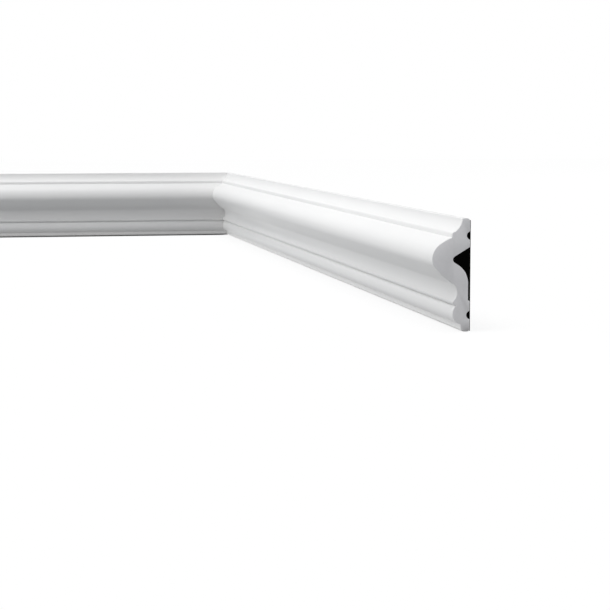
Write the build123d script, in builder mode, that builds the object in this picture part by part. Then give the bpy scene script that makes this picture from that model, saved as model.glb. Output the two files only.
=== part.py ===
import os

from build123d import *

# Wall moulding (dado rail) turned round an inside corner: two lengths of one section, mitred together.
# Millimetres. The origin is where the two wall planes meet at the rail's lower edge, and +Z is up.
# The right length runs along +X with its back on the plane y = 0.
# The left length runs along -Y with its back on the plane x = 0, and mirrors the right one.

# Length of each piece along its wall, from the corner to the square-cut end
rail_length = 1200.0

# Heights of the section's members, from the lower edge up
base_fillet_height = 5.3
bead_height = 14.9
lip_height = 2.7
cove_height = 13.6
torus_lower_height = 18.3
torus_upper_height = 16.7
band_height = 4.3
cavetto_height = 8.8
top_fillet_height = 1.4

# How far members stand out from the wall, or step out from the member beside them
base_fillet_depth = 7.0
quirk_depth = 10.1
bead_swell = 3.3
lip_overhang = 3.1
cove_sink = 3.2
cove_top_setback = 0.5
torus_depth = 29.5
band_ledge = 2.3
cavetto_spread = 5.7
top_fillet_depth = 6.0

# Curves of the members: the torus is fuller above its nose than below it
bead_nose_rise = 8.2
torus_upper_radius = 14.4
torus_upper_sweep = 55.0
torus_lower_radius = 8.5
torus_lower_sweep = 35.0
cavetto_sag = 1.0

# Rounded arrises
base_front_arris_radius = 2.9
base_back_arris_radius = 1.9
lip_arris_radius = 2.1
band_arris_radius = 2.2
top_front_arris_radius = 1.0
top_back_arris_radius = 2.5

# Two part-round grooves for adhesive along the back
groove_radius = 3.3
groove_depth = 2.5
lower_groove_height = 12.5
upper_groove_drop = 13.1

# Hollow in the back behind the torus: straight upper wall, round apex, then a long curve into a shallow relief
hollow_top_rise = 9.5
hollow_apex_depth = 15.8
hollow_apex_radius = 3.1
hollow_flank_drop = 4.0
hollow_flank_depth = 9.3
hollow_relief_drop = 19.2
hollow_relief_depth = 1.25
hollow_bottom_rise = 0.4

# Depths and levels of the section, worked out from the members
bead_depth = quirk_depth + bead_swell
lip_depth = quirk_depth + lip_overhang
cove_floor_depth = lip_depth - cove_sink
cove_top_depth = lip_depth - cove_top_setback
cavetto_depth = top_fillet_depth + cavetto_spread
band_depth = cavetto_depth + band_ledge
quirk_level = base_fillet_height + bead_height
cove_level = quirk_level + lip_height
torus_level = cove_level + cove_height
nose_level = torus_level + torus_lower_height
band_level = nose_level + torus_upper_height
cavetto_level = band_level + band_height
top_fillet_level = cavetto_level + cavetto_height
rail_height = top_fillet_level + top_fillet_height


def nose_half(tip, direction, radius, sweep, flank_end):
    """Half of a rounded nose: an arc that leaves its tip one way, then a tangent flank to its end."""
    nose = JernArc(start=tip, tangent=direction, radius=radius, arc_size=sweep)
    TangentArc(nose @ 1, flank_end, tangent=nose % 1)


def round_corner(point, radius):
    """Round the corner of the sketch in hand that lies nearest to the point."""
    fillet(vertices().sort_by_distance(point)[0], radius)


# Hollow drawn on its own, so that its apex can be rounded before it is cut
hollow_top = (0, nose_level + hollow_top_rise)
hollow_apex = (hollow_apex_depth, nose_level)
hollow_flank_end = (hollow_flank_depth, nose_level - hollow_flank_drop)
hollow_relief_top = (hollow_relief_depth, nose_level - hollow_relief_drop)
hollow_bottom = cove_level + hollow_bottom_rise
with BuildSketch() as hollow:
    with BuildLine():
        Line(hollow_top, hollow_apex)
        flank = Line(hollow_apex, hollow_flank_end)
        TangentArc(hollow_flank_end, hollow_relief_top, tangent=flank % 1)
        Polyline(hollow_relief_top, (hollow_relief_depth, hollow_bottom), (0, hollow_bottom), hollow_top)
    make_face()
    round_corner(hollow_apex, hollow_apex_radius)

# The whole section: depth from the wall to the right, height upwards
torus_nose = (torus_depth, nose_level)
bead_nose = (bead_depth, base_fillet_height + bead_nose_rise)
groove_centre = groove_depth - groove_radius
cove_floor = (cove_floor_depth, cove_level + cove_height / 2)
with BuildSketch() as section:
    with BuildLine():
        Polyline((0, rail_height), (top_fillet_depth, rail_height), (top_fillet_depth, top_fillet_level))
        SagittaArc((top_fillet_depth, top_fillet_level), (cavetto_depth, cavetto_level), -cavetto_sag)
        Polyline((cavetto_depth, cavetto_level), (band_depth, cavetto_level), (band_depth, band_level))
        nose_half(torus_nose, (0, 1), torus_upper_radius, torus_upper_sweep, (band_depth, band_level))
        nose_half(torus_nose, (0, -1), torus_lower_radius, -torus_lower_sweep, (cove_top_depth, torus_level))
        ThreePointArc((cove_top_depth, torus_level), cove_floor, (lip_depth, cove_level))
        Polyline((lip_depth, cove_level), (lip_depth, quirk_level), (quirk_depth, quirk_level))
        TangentArc(bead_nose, (quirk_depth, quirk_level), tangent=(0, 1))
        TangentArc(bead_nose, (base_fillet_depth, base_fillet_height), tangent=(0, -1))
        Polyline((base_fillet_depth, base_fillet_height), (base_fillet_depth, 0), (0, 0), (0, rail_height))
    make_face()
    round_corner((0, 0), base_back_arris_radius)
    round_corner((base_fillet_depth, 0), base_front_arris_radius)
    round_corner((lip_depth, quirk_level), lip_arris_radius)
    round_corner((band_depth, cavetto_level), band_arris_radius)
    round_corner((top_fillet_depth, rail_height), top_front_arris_radius)
    round_corner((0, rail_height), top_back_arris_radius)
    with Locations((groove_centre, lower_groove_height), (groove_centre, rail_height - upper_groove_drop)):
        Circle(groove_radius, mode=Mode.SUBTRACT)
    add(hollow.sketch, mode=Mode.SUBTRACT)

# The section stands on the right wall's plane, and the mitre plane halves the corner
section_plane = Plane(origin=(0, 0, 0), x_dir=(0, -1, 0), z_dir=(-1, 0, 0))
mitre_plane = Plane(origin=(0, 0, 0), x_dir=(0, 0, 1), z_dir=(1, 1, 0))

with BuildPart() as right_length:
    with BuildSketch(section_plane):
        add(section.sketch)
    extrude(amount=-rail_length)
    split(bisect_by=mitre_plane, keep=Keep.TOP)
right_length.part.label = "right_length"

with BuildPart() as left_length:
    mirror(right_length.part, about=mitre_plane)
left_length.part.label = "left_length"

os.makedirs("parts", exist_ok=True)
export_step(right_length.part, "parts/right_length.step")
export_step(left_length.part, "parts/left_length.step")
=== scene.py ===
import math

import bmesh
import bpy
from mathutils import Matrix, Vector


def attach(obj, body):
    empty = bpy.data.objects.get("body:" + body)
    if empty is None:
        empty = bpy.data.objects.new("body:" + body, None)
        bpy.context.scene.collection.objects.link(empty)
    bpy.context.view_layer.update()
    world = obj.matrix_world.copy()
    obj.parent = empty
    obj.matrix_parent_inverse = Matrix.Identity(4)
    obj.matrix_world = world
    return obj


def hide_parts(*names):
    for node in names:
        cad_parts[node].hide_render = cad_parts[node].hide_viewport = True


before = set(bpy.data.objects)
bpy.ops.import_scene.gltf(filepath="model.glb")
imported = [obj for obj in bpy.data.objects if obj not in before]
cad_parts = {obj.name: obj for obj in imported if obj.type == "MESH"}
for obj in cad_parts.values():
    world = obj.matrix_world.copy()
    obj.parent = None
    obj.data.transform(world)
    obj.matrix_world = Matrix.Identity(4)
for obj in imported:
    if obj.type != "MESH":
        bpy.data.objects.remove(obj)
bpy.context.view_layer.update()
print("frame loaded:", ", ".join(sorted(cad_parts)))

mm = 0.001

# The rail's section in millimetres, the same sizes as the solids have
section = {
    "baseFilletHeight": 5.3, "baseFilletDepth": 7.0,
    "beadHeight": 14.9, "beadNoseRise": 8.2, "beadSwell": 3.3,
    "quirkDepth": 10.1, "lipHeight": 2.7, "lipOverhang": 3.1,
    "coveHeight": 13.6, "coveSink": 3.2, "coveTopSetback": 0.5,
    "torusDepth": 29.5, "torusLowerHeight": 18.3, "torusUpperHeight": 16.7,
    "torusUpperRadius": 14.4, "torusUpperSweep": 55.0,
    "torusLowerRadius": 8.5, "torusLowerSweep": 35.0,
    "bandHeight": 4.3, "bandLedge": 2.3,
    "cavettoHeight": 8.8, "cavettoSpread": 5.7, "cavettoSag": 1.0,
    "topFilletHeight": 1.4, "topFilletDepth": 6.0,
    "grooveRadius": 3.3, "grooveDepth": 2.5, "lowerGrooveHeight": 12.5, "upperGrooveDrop": 13.1,
    "hollowTopRise": 9.5, "hollowApexDepth": 15.8, "hollowApexRadius": 3.1,
    "hollowFlankDrop": 4.0, "hollowFlankDepth": 9.3, "hollowReliefDrop": 19.2, "hollowReliefDepth": 1.25,
    "hollowBottomRise": 0.4,
    "degreesPerFacet": 3.0, "arrisFacets": 8,
    "sharpDegrees": 24.0,         # edges that turn further than this stay crisp
}

# Corners of the section that are rounded, by their radius in millimetres
arrises = {"baseFront": 2.9, "baseBack": 1.9, "lip": 2.1, "band": 2.2, "topFront": 1.0, "topBack": 2.5}

# Each length: where the section's depth and the run point, and the arrises that sawing leaves
lengths = {
    "rightRail": {"node": "right_length", "depthAxis": (0, -1, 0), "runAxis": (1, 0, 0)},
    "leftRail": {"node": "left_length", "depthAxis": (1, 0, 0), "runAxis": (0, -1, 0)},
}
sawing = {
    "runLength": 1200.0,
    "endArris": 0.25,
    "mitreArris": 0.2,
    "mitreGap": 0.2,              # the hairline of the joint
    "arrisSegments": 2,
    "sawnFacing": 0.6,            # faces that look this far along the run show the bare foam
    "levelSlack": 1e-4,           # how far from the end's plane a point of the end may lie
}


def vertsOf(made):
    # The vertices in what an operator made
    return [g for g in made if isinstance(g, bmesh.types.BMVert)]


def drawTo(bm, tip, point):
    # A straight member, from the tip to the point
    newTip = bmesh.ops.extrude_vert_indiv(bm, verts=[tip])["verts"][0]
    newTip.co = Vector((point[0], point[1], 0))
    return newTip


def arcBy(bm, tip, centre, turn):
    # A round member, turned about its centre
    steps = max(2, math.ceil(abs(math.degrees(turn)) / section["degreesPerFacet"]))
    made = bmesh.ops.spin(bm, geom=[tip], cent=(centre[0], centre[1], 0), axis=(0, 0, 1), angle=turn,
                          steps=steps, use_merge=False, use_duplicate=False)
    return vertsOf(made["geom_last"])[0]


def arcTo(bm, tip, point, heading):
    # A round member that leaves the tip on its heading and ends at the point; returns the new heading too
    start, heading = tip.co.xy, Vector(heading).normalized()
    chord = Vector(point) - start
    lean = math.atan2(heading.cross(chord), heading.dot(chord))
    radius = chord.length / (2 * math.sin(lean))
    centre = start + radius * Vector((-heading.y, heading.x))
    tip = arcBy(bm, tip, centre, 2 * lean)
    tip.co = Vector((point[0], point[1], 0))
    return tip, Matrix.Rotation(2 * lean, 2) @ heading


def arcThrough(bm, tip, middle, point):
    # A round member through three points
    start, middle, end = tip.co.xy, Vector(middle), Vector(point)
    a, b = middle - start, end - start
    cross = 2 * a.cross(b)
    centre = start + Vector((b.y * a.length_squared - a.y * b.length_squared,
                             a.x * b.length_squared - b.x * a.length_squared)) / cross
    heading = Vector((-(start - centre).y, (start - centre).x)) * (1 if cross > 0 else -1)
    return arcTo(bm, tip, point, heading)[0]


def arcInto(bm, tip, point, heading=(0, 1)):
    # A round member that ends at the point on the given heading
    chord = Vector(point) - tip.co.xy
    lean = math.atan2(chord.cross(Vector(heading)), chord.dot(Vector(heading)))
    startHeading = Matrix.Rotation(-2 * lean, 2) @ Vector(heading)
    return arcTo(bm, tip, point, startHeading)[0]


def drawGroove(bm, tip, height):
    # One part-round adhesive groove, met on the way down the back
    radius, depth = section["grooveRadius"], section["grooveDepth"]
    centre = Vector((depth - radius, height))
    half = math.acos((radius - depth) / radius)
    tip = drawTo(bm, tip, (0, height + radius * math.sin(half)))
    tip = arcBy(bm, tip, centre, -2 * half)
    tip.co.x = 0
    return tip


def roundCorners(bm, corners, radius, angle):
    # Rounds a corner whose sides stand at the angle
    bmesh.ops.bevel(bm, geom=corners, offset=radius / math.tan(angle / 2), offset_type="OFFSET",
                    affect="VERTICES", segments=section["arrisFacets"], profile=0.5, material=-1)


def drawSection(bm):
    # The closed outline of the rail, depth along x and height along y, drawn once round from the base
    s = section
    quirkLevel = s["baseFilletHeight"] + s["beadHeight"]
    coveLevel = quirkLevel + s["lipHeight"]
    torusLevel = coveLevel + s["coveHeight"]
    noseLevel = torusLevel + s["torusLowerHeight"]
    bandLevel = noseLevel + s["torusUpperHeight"]
    cavettoLevel = bandLevel + s["bandHeight"]
    topLevel = cavettoLevel + s["cavettoHeight"]
    railHeight = topLevel + s["topFilletHeight"]
    lipDepth = s["quirkDepth"] + s["lipOverhang"]
    coveTopDepth = lipDepth - s["coveTopSetback"]
    cavettoDepth = s["topFilletDepth"] + s["cavettoSpread"]
    bandDepth = cavettoDepth + s["bandLedge"]
    beadNose = (s["quirkDepth"] + s["beadSwell"], s["baseFilletHeight"] + s["beadNoseRise"])
    torusNose = Vector((s["torusDepth"], noseLevel))
    corners = {}

    start = bm.verts.new((0, 0, 0))
    corners["baseBack"] = [start]
    tip = drawTo(bm, start, (s["baseFilletDepth"], 0))
    corners["baseFront"] = [tip]
    tip = drawTo(bm, tip, (s["baseFilletDepth"], s["baseFilletHeight"]))

    # the bead: each half is an arc that is upright at the nose
    tip = arcInto(bm, tip, beadNose)
    tip = arcTo(bm, tip, (s["quirkDepth"], quirkLevel), (0, 1))[0]
    tip = drawTo(bm, tip, (lipDepth, quirkLevel))
    corners["lip"] = [tip]
    tip = drawTo(bm, tip, (lipDepth, coveLevel))
    tip = arcThrough(bm, tip, (lipDepth - s["coveSink"], coveLevel + s["coveHeight"] / 2),
                     (coveTopDepth, torusLevel))

    # the torus: a long flank up to the nose's lower arc, the nose, and the upper flank
    turn = math.radians(s["torusLowerSweep"])
    centre = torusNose - Vector((s["torusLowerRadius"], 0))
    lowerEnd = centre + s["torusLowerRadius"] * Vector((math.cos(turn), -math.sin(turn)))
    tip = arcInto(bm, tip, lowerEnd, Vector((math.sin(turn), math.cos(turn))))
    tip = arcBy(bm, tip, centre, turn)
    tip.co = Vector((torusNose.x, torusNose.y, 0))
    turn = math.radians(s["torusUpperSweep"])
    tip = arcBy(bm, tip, torusNose - Vector((s["torusUpperRadius"], 0)), turn)
    tip = arcTo(bm, tip, (bandDepth, bandLevel), (-math.sin(turn), math.cos(turn)))[0]

    tip = drawTo(bm, tip, (bandDepth, cavettoLevel))
    corners["band"] = [tip]
    tip = drawTo(bm, tip, (cavettoDepth, cavettoLevel))
    foot, head = Vector((cavettoDepth, cavettoLevel)), Vector((s["topFilletDepth"], topLevel))
    across = (head - foot).normalized()
    sunk = (foot + head) / 2 - s["cavettoSag"] * Vector((across.y, -across.x))
    tip = arcThrough(bm, tip, sunk, head)
    tip = drawTo(bm, tip, (s["topFilletDepth"], railHeight))
    corners["topFront"] = [tip]
    tip = drawTo(bm, tip, (0, railHeight))
    corners["topBack"] = [tip]

    # the back, downwards: groove, hollow, groove
    tip = drawGroove(bm, tip, railHeight - s["upperGrooveDrop"])
    apex = (s["hollowApexDepth"], noseLevel)
    flankEnd = (s["hollowFlankDepth"], noseLevel - s["hollowFlankDrop"])
    tip = drawTo(bm, tip, (0, noseLevel + s["hollowTopRise"]))
    roof = tip.co.xy
    tip = drawTo(bm, tip, apex)
    apexCorner = tip
    tip = drawTo(bm, tip, flankEnd)
    tip = arcTo(bm, tip, (s["hollowReliefDepth"], noseLevel - s["hollowReliefDrop"]),
                Vector(flankEnd) - Vector(apex))[0]
    tip = drawTo(bm, tip, (s["hollowReliefDepth"], coveLevel + s["hollowBottomRise"]))
    tip = drawTo(bm, tip, (0, coveLevel + s["hollowBottomRise"]))
    tip = drawGroove(bm, tip, s["lowerGrooveHeight"])
    bm.edges.new((tip, start))

    face = bmesh.ops.contextual_create(bm, geom=bm.edges[:])["faces"][0]
    for name, found in corners.items():
        roundCorners(bm, found, arrises[name], math.pi / 2)
    roofRun, flankRun = roof - Vector(apex), Vector(flankEnd) - Vector(apex)
    roundCorners(bm, [apexCorner], s["hollowApexRadius"], roofRun.angle(flankRun))
    return face


def makeRail(name, spec):
    bm = bmesh.new()
    drawSection(bm)
    depthAxis, runAxis = Vector(spec["depthAxis"]), Vector(spec["runAxis"])
    upAxis = Vector((0, 0, 1))
    alongSign = 1 if depthAxis.cross(upAxis).dot(runAxis) > 0 else -1
    run = alongSign * sawing["runLength"]

    # the section drawn out to the length, then sawn at 45 degrees for the corner
    drawn = bmesh.ops.extrude_face_region(bm, geom=bm.faces[:], use_keep_orig=True)
    bmesh.ops.translate(bm, vec=(0, 0, run), verts=vertsOf(drawn["geom"]))
    # and each length stands back half the gap from the joint
    cut = bmesh.ops.bisect_plane(bm, geom=bm.verts[:] + bm.edges[:] + bm.faces[:], dist=1e-5,
                                 plane_co=(-sawing["mitreGap"] / math.sqrt(2), 0, 0),
                                 plane_no=(1, 0, -alongSign), clear_outer=True)
    mitreEdges = [g for g in cut["geom_cut"] if isinstance(g, bmesh.types.BMEdge)]
    bmesh.ops.contextual_create(bm, geom=mitreEdges)
    bmesh.ops.recalc_face_normals(bm, faces=bm.faces[:])

    endEdges = [e for e in bm.edges if all(abs(v.co.z - run) < sawing["levelSlack"] for v in e.verts)]
    for edges, arris in ((endEdges, sawing["endArris"]), (mitreEdges, sawing["mitreArris"])):
        bmesh.ops.bevel(bm, geom=[e for e in edges if e.is_valid], offset=arris, offset_type="OFFSET",
                        affect="EDGES", segments=sawing["arrisSegments"], profile=0.5, material=-1,
                        clamp_overlap=True)
    for face in bm.faces:
        face.material_index = 1 if abs(face.normal.z) > sawing["sawnFacing"] else 0

    place = Matrix((depthAxis, upAxis, alongSign * runAxis)).transposed().to_4x4() @ Matrix.Scale(mm, 4)
    bmesh.ops.transform(bm, matrix=place, verts=bm.verts[:])
    mesh = bpy.data.meshes.new(name)
    bm.to_mesh(mesh)
    bm.free()
    mesh.shade_smooth()
    mesh.set_sharp_from_angle(angle=math.radians(section["sharpDegrees"]))
    rail = bpy.data.objects.new(name, mesh)
    bpy.context.scene.collection.objects.link(rail)
    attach(rail, "root")
    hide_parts(spec["node"])
    return rail


rails = {name: makeRail(name, spec) for name, spec in lengths.items()}
print("rails made:", {name: len(rail.data.polygons) for name, rail in rails.items()})

# Materials
finish = {
    "coatColour": "#e6e6e5",      # water-based primer, sprayed on white
    "coatShade": "#e0e0e0",       # the same coat where it lies thinner
    "coatPatches": 6.0,           # thin and thick places of the coat to the metre
    "coatRoughness": 0.42,
    "coatIor": 1.49,
    "peelSpacing": 2.2,           # orange peel of the sprayed coat, mm from hump to hump
    "peelHeight": 0.012,          # mm
    "drawLineSpacing": 0.9,       # lines that the die leaves along the stock, mm
    "drawLineHeight": 0.005,      # mm
    "sawnColour": "#efeff0",      # bare foam at the sawn end
    "sawnShade": "#e7e7e9",
    "sawnRoughness": 0.75,
    "cellSpacing": 0.35,          # closed cells that the saw opens, mm
    "cellDepth": 0.03,            # mm
    "cellsPerPatch": 6,           # width of the paler and darker patches of cells
}


def toLinear(hexColour):
    parts = [int(hexColour[i:i + 2], 16) / 255 for i in (1, 3, 5)]
    return [c / 12.92 if c <= 0.04045 else ((c + 0.055) / 1.055) ** 2.4 for c in parts] + [1.0]


def addNode(tree, kind, settings=None, links=None):
    # Adds a node, sets its fields and sockets, and links what feeds it
    node = tree.nodes.new(kind)
    for key, value in (settings or {}).items():
        if key in node.inputs:
            node.inputs[key].default_value = value
        else:
            setattr(node, key, value)
    for key, source in (links or {}).items():
        tree.links.new(source, node.inputs[key])
    return node


def newMaterial(name):
    material = bpy.data.materials.new(name)
    material.use_nodes = True
    material.node_tree.nodes.clear()
    return material, material.node_tree


def primedPolymer(name, stretch):
    # High-density polymer foam, extruded and sprayed with primer: satin white, with a faint orange peel,
    # and under it the fine lines of the die, which run along the stock
    material, tree = newMaterial(name)
    place = addNode(tree, "ShaderNodeTexCoord").outputs["Object"]
    thinness = addNode(tree, "ShaderNodeTexNoise",
                       {"Scale": finish["coatPatches"], "Detail": 3.0, "Roughness": 0.5}, {"Vector": place})
    colour = addNode(tree, "ShaderNodeMix", {"data_type": "RGBA"})
    colour.inputs[6].default_value = toLinear(finish["coatColour"])
    colour.inputs[7].default_value = toLinear(finish["coatShade"])
    tree.links.new(thinness.outputs["Fac"], colour.inputs[0])
    peel = addNode(tree, "ShaderNodeTexNoise",
                   {"Scale": 1 / (finish["peelSpacing"] * mm), "Detail": 1.0}, {"Vector": place})
    run = addNode(tree, "ShaderNodeMapping", {"Scale": stretch}, {"Vector": place})
    lines = addNode(tree, "ShaderNodeTexNoise",
                    {"Scale": 1 / (finish["drawLineSpacing"] * mm), "Detail": 2.0},
                    {"Vector": run.outputs["Vector"]})
    drawn = addNode(tree, "ShaderNodeBump", {"Strength": 1.0, "Distance": finish["drawLineHeight"] * mm},
                    {"Height": lines.outputs["Fac"]})
    sprayed = addNode(tree, "ShaderNodeBump", {"Strength": 1.0, "Distance": finish["peelHeight"] * mm},
                      {"Height": peel.outputs["Fac"], "Normal": drawn.outputs["Normal"]})
    shader = addNode(tree, "ShaderNodeBsdfPrincipled",
                     {"Roughness": finish["coatRoughness"], "IOR": finish["coatIor"]},
                     {"Base Color": colour.outputs[2], "Normal": sprayed.outputs["Normal"]})
    addNode(tree, "ShaderNodeOutputMaterial", links={"Surface": shader.outputs["BSDF"]})
    return material


def sawnFoam(name):
    # The bare foam at a sawn end: duller than the primer, with opened cells
    material, tree = newMaterial(name)
    place = addNode(tree, "ShaderNodeTexCoord").outputs["Object"]
    cells = addNode(tree, "ShaderNodeTexVoronoi",
                    {"Scale": 1 / (finish["cellSpacing"] * mm)}, {"Vector": place})
    patchWidth = finish["cellsPerPatch"] * finish["cellSpacing"] * mm
    patches = addNode(tree, "ShaderNodeTexNoise", {"Scale": 1 / patchWidth, "Detail": 3.0}, {"Vector": place})
    colour = addNode(tree, "ShaderNodeMix", {"data_type": "RGBA"})
    colour.inputs[6].default_value = toLinear(finish["sawnColour"])
    colour.inputs[7].default_value = toLinear(finish["sawnShade"])
    tree.links.new(patches.outputs["Fac"], colour.inputs[0])
    pits = addNode(tree, "ShaderNodeBump", {"Strength": 1.0, "Distance": finish["cellDepth"] * mm},
                   {"Height": cells.outputs["Distance"]})
    shader = addNode(tree, "ShaderNodeBsdfPrincipled", {"Roughness": finish["sawnRoughness"]},
                     {"Base Color": colour.outputs[2], "Normal": pits.outputs["Normal"]})
    addNode(tree, "ShaderNodeOutputMaterial", links={"Surface": shader.outputs["BSDF"]})
    return material


sawnEnd = sawnFoam("sawnPolymerFoam")
lineStretch = {"rightRail": (0.01, 1, 1), "leftRail": (1, 0.01, 1)}   # the die's lines run along X or Y
for name, rail in rails.items():
    coat = primedPolymer("primedPolymer" + name[0].upper() + name[1:], lineStretch[name])
    rail.data.materials.append(coat)
    rail.data.materials.append(sawnEnd)
    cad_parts[lengths[name]["node"]].data.materials.clear()
    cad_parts[lengths[name]["node"]].data.materials.append(coat)
print("materials made:", ", ".join(m.name for m in bpy.data.materials if m.use_nodes))

# Floor, a dark strip of painted shade behind the rail's back, and the world
studio = {
    "floorSpan": 9.0,             # metres
    "floorColour": "#ffffff",
    # painted glow that the floor gives each length, by mm from its wall: painted shade under it, a painted
    # foot glow about as bright as the lamps make the floor there, then an even painted glow
    "paintedFootGlows": {
        "right": ((7.2, "#000000"), (7.7, "#f4f4f4"), (9.2, "#f4f4f4"),
                  (10.5, "#a0a0a0"), (22.0, "#939597")),
        "left": ((7.4, "#000000"), (8.2, "#cccccc"), (10.0, "#cccccc"),
                 (12.0, "#a4a4a4"), (22.0, "#939597")),
    },
    "floorWhite": (0.8, 0.985),   # share of plain white in the floor that the camera sees, near and away
    "whiteReach": (14.0, 90.0),   # mm from the wall, for the two
    "leftPaintedShade": (12.0, 17.0),     # mm from the wall, where the painted shade line at the left run's foot fades out
    # colour of that painted shade line on the floor
    "leftPaintedShadeColour": "#202020",
    "worldColour": "#fafdff",
    "worldStrength": 0.56,
    "wallGap": 0.42,              # mm between the rail's back and the strip of painted shade
    # near-black colour of that painted shade strip
    "paintedShadeColour": "#040404",
    "wallLevels": (0.4, 84.5),    # mm above the floor, its foot and head
}


def calc(tree, operation, first, second):
    # One sum or comparison of two sockets or numbers
    node = addNode(tree, "ShaderNodeMath", {"operation": operation})
    for socket, value in zip(node.inputs, (first, second)):
        if isinstance(value, (int, float)):
            socket.default_value = value
        else:
            tree.links.new(value, socket)
    return node.outputs[0]


def mixShaders(tree, share, first, second):
    # The second shader by its share, the first for the rest
    both = addNode(tree, "ShaderNodeMixShader")
    for socket, source in zip(both.inputs, (share, first.outputs[0], second.outputs[0])):
        tree.links.new(source, socket)
    return both


def seenRays(tree):
    # 1 for what is seen straight, in gloss or through glass
    rays = addNode(tree, "ShaderNodeLightPath").outputs
    straightOrGloss = calc(tree, "MAXIMUM", rays["Is Camera Ray"], rays["Is Glossy Ray"])
    return calc(tree, "MAXIMUM", straightOrGloss, rays["Is Transmission Ray"])


def paintedFootGlow(tree, fromWall, tones):
    # The floor's painted glow toward the rail, by the distance from the wall
    reach = tones[-1][0]
    along = addNode(tree, "ShaderNodeMapRange", {"From Max": reach * mm}, {"Value": fromWall})
    light = addNode(tree, "ShaderNodeValToRGB", links={"Fac": along.outputs["Result"]})
    stops = light.color_ramp.elements
    while len(stops) < len(tones):
        stops.new(1.0)
    for stop, (distance, tone) in zip(stops, tones):
        stop.position = distance / reach
        stop.color = toLinear(tone)
    return light.outputs["Color"]


def makeFloor():
    bm = bmesh.new()
    bmesh.ops.create_grid(bm, x_segments=1, y_segments=1, size=studio["floorSpan"] / 2)
    mesh = bpy.data.meshes.new("floor")
    bm.to_mesh(mesh)
    bm.free()
    floor = bpy.data.objects.new("floor", mesh)
    bpy.context.scene.collection.objects.link(floor)
    material, tree = newMaterial("paleFloor")
    place = addNode(tree, "ShaderNodeTexCoord").outputs["Object"]
    axes = addNode(tree, "ShaderNodeSeparateXYZ", links={"Vector": place}).outputs
    outward = calc(tree, "MULTIPLY", axes["Y"], -1.0)
    fromWall = calc(tree, "ABSOLUTE", calc(tree, "MINIMUM", axes["X"], outward), 0.0)
    nearLeft = calc(tree, "GREATER_THAN", outward, axes["X"])

    # to the eye: matt white with the rail's shadow beside it, plain white away from it
    start, end = (mm * reach for reach in studio["whiteReach"])
    near, away = studio["floorWhite"]
    share = addNode(tree, "ShaderNodeMapRange",
                    {"From Min": start, "From Max": end, "To Min": near, "To Max": away}, {"Value": fromWall})
    matt = addNode(tree, "ShaderNodeBsdfDiffuse", {"Color": toLinear(studio["floorColour"])})
    white = addNode(tree, "ShaderNodeEmission", {"Color": (1, 1, 1, 1), "Strength": 1.0})
    toEye = mixShaders(tree, share.outputs["Result"], matt, white)

    # and painted shade: a thin dark line on the floor under the left run's overhang, which no lamp reaches
    start, end = (mm * reach for reach in studio["leftPaintedShade"])
    fade = addNode(tree, "ShaderNodeMapRange",
                   {"From Min": start, "From Max": end, "To Min": 1.0, "To Max": 0.0}, {"Value": axes["X"]})
    beside = calc(tree, "MULTIPLY", calc(tree, "GREATER_THAN", axes["X"], 0.0), nearLeft)
    beside = calc(tree, "MULTIPLY", beside, calc(tree, "LESS_THAN", outward, sawing["runLength"] * mm))
    line = addNode(tree, "ShaderNodeBsdfDiffuse", {"Color": toLinear(studio["leftPaintedShadeColour"])})
    toEye = mixShaders(tree, calc(tree, "MULTIPLY", beside, fade.outputs["Result"]), toEye, line)

    # to the rail: a soft painted glow from below, which ends in painted shade at the rail's foot
    light = addNode(tree, "ShaderNodeMix", {"data_type": "RGBA"})
    tree.links.new(nearLeft, light.inputs[0])
    tree.links.new(paintedFootGlow(tree, fromWall, studio["paintedFootGlows"]["right"]), light.inputs[6])
    tree.links.new(paintedFootGlow(tree, fromWall, studio["paintedFootGlows"]["left"]), light.inputs[7])
    # painted light: the floor glows toward the rail though it is no lamp
    toRail = addNode(tree, "ShaderNodeEmission", {"Strength": 1.0}, {"Color": light.outputs[2]})
    both = mixShaders(tree, seenRays(tree), toRail, toEye)
    addNode(tree, "ShaderNodeOutputMaterial", links={"Surface": both.outputs[0]})
    mesh.materials.append(material)


def makePaintedWallShade():
    # Painted shade: a near-black strip standing where the wall behind the rail would lie in shade, closing
    # the hollow and grooves, seen by the camera from the room's side only
    bm = bmesh.new()
    gap, run = studio["wallGap"] * mm, sawing["runLength"] * mm
    foot, head = (mm * level for level in studio["wallLevels"])
    corners = [bm.verts.new(p) for p in ((run, gap, foot), (-gap, gap, foot), (-gap, -run, foot))]
    bm.edges.new(corners[:2])
    bm.edges.new(corners[1:])
    drawn = bmesh.ops.extrude_edge_only(bm, edges=bm.edges[:])
    bmesh.ops.translate(bm, vec=(0, 0, head - foot), verts=vertsOf(drawn["geom"]))
    roomSide = Vector((1, -1, 0))
    for face in bm.faces:
        face.normal_update()
        if face.normal.dot(roomSide) < 0:
            face.normal_flip()
    mesh = bpy.data.meshes.new("paintedWallShade")
    bm.to_mesh(mesh)
    bm.free()
    wall = bpy.data.objects.new("paintedWallShade", mesh)
    bpy.context.scene.collection.objects.link(wall)
    material, tree = newMaterial("paintedWallShade")
    rays = addNode(tree, "ShaderNodeLightPath").outputs
    front = calc(tree, "SUBTRACT", 1.0, addNode(tree, "ShaderNodeNewGeometry").outputs["Backfacing"])
    seen = calc(tree, "MULTIPLY", rays["Is Camera Ray"], front)
    clear = addNode(tree, "ShaderNodeBsdfTransparent")
    # painted shade: the strip glows near-black to the camera
    dark = addNode(tree, "ShaderNodeEmission", {"Color": toLinear(studio["paintedShadeColour"]), "Strength": 1.0})
    both = mixShaders(tree, seen, clear, dark)
    addNode(tree, "ShaderNodeOutputMaterial", links={"Surface": both.outputs[0]})
    mesh.materials.append(material)


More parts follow.
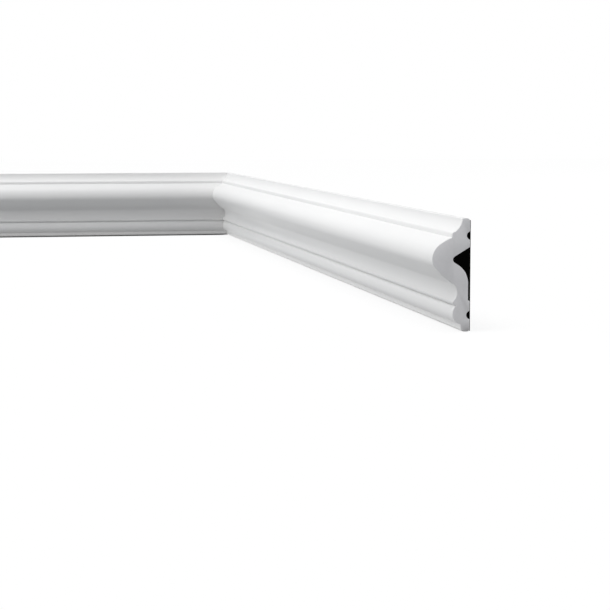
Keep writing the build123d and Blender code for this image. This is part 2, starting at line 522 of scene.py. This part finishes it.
def makeWorld():
    world = bpy.data.worlds.new("studioWorld")
    world.use_nodes = True
    tree = world.node_tree
    tree.nodes.clear()
    white = addNode(tree, "ShaderNodeBackground", {"Color": (1, 1, 1, 1), "Strength": 1.0})
    soft = addNode(tree, "ShaderNodeBackground", {"Color": toLinear(studio["worldColour"]),
                                                  "Strength": studio["worldStrength"]})
    both = mixShaders(tree, seenRays(tree), soft, white)
    addNode(tree, "ShaderNodeOutputWorld", links={"Surface": both.outputs[0]})
    bpy.context.scene.world = world


makeFloor()
makePaintedWallShade()
makeWorld()
print("stage made")

# Lamps: square softboxes, each with its place, what it is aimed at, its side in metres, its power in
# watts and its tint
railMiddle = (0.5, -0.35, 0.05)
cornerFoot = (0.25, -0.25, 0.05)
lamps = {
    "lowBox": {"at": (0.5, -3.55, 0.22), "aim": railMiddle, "size": 1.0, "power": 48.0, "tint": "#ffffff"},
    "highBox": {"at": (1.4, -1.91, 3.17), "aim": railMiddle, "size": 2.0, "power": 47.0, "tint": "#fffdfe"},
    "topBox": {"at": (0.5, -0.41, 3.65), "aim": railMiddle, "size": 2.4, "power": 37.5, "tint": "#fffefd"},
    "backBox": {"at": (-1.6, 2.77, 0.35), "aim": cornerFoot, "size": 1.2, "power": 74.0, "tint": "#ffffff"},
    "frontBox": {"at": (4.29, -0.35, 0.25), "aim": railMiddle, "size": 1.0, "power": 7.4, "tint": "#ffefec"},
}
for name, spec in lamps.items():
    lamp = bpy.data.lights.new(name, "AREA")
    lamp.shape = "SQUARE"
    lamp.size = spec["size"]
    lamp.energy = spec["power"]
    lamp.color = toLinear(spec["tint"])[:3]
    holder = bpy.data.objects.new(name, lamp)
    holder.location = spec["at"]
    holder.rotation_euler = (Vector(spec["aim"]) - Vector(spec["at"])).to_track_quat("-Z", "Y").to_euler()
    bpy.context.scene.collection.objects.link(holder)
    holder.visible_camera = False
print("lamps made:", len(lamps))

# Camera: the photo's viewpoint, worked out from the rail's edges
shot = {
    "at": (2.54654, -0.38759, 0.16161),   # metres
    "azimuth": 79.0505,
    "elevation": 5.7863,
    "lens": 109.184,
    "sensor": 36.0,
    "clip": (0.05, 60.0),
}
camera = bpy.data.objects.new("camera", bpy.data.cameras.new("camera"))
camera.data.lens = shot["lens"]
camera.data.sensor_width = shot["sensor"]
camera.data.clip_start, camera.data.clip_end = shot["clip"]
camera.location = shot["at"]
camera.rotation_euler = (math.radians(90 - shot["elevation"]), 0, math.radians(shot["azimuth"]))
bpy.context.scene.collection.objects.link(camera)
bpy.context.scene.camera = camera
bpy.context.scene.view_settings.view_transform = "Standard"
print("camera set")
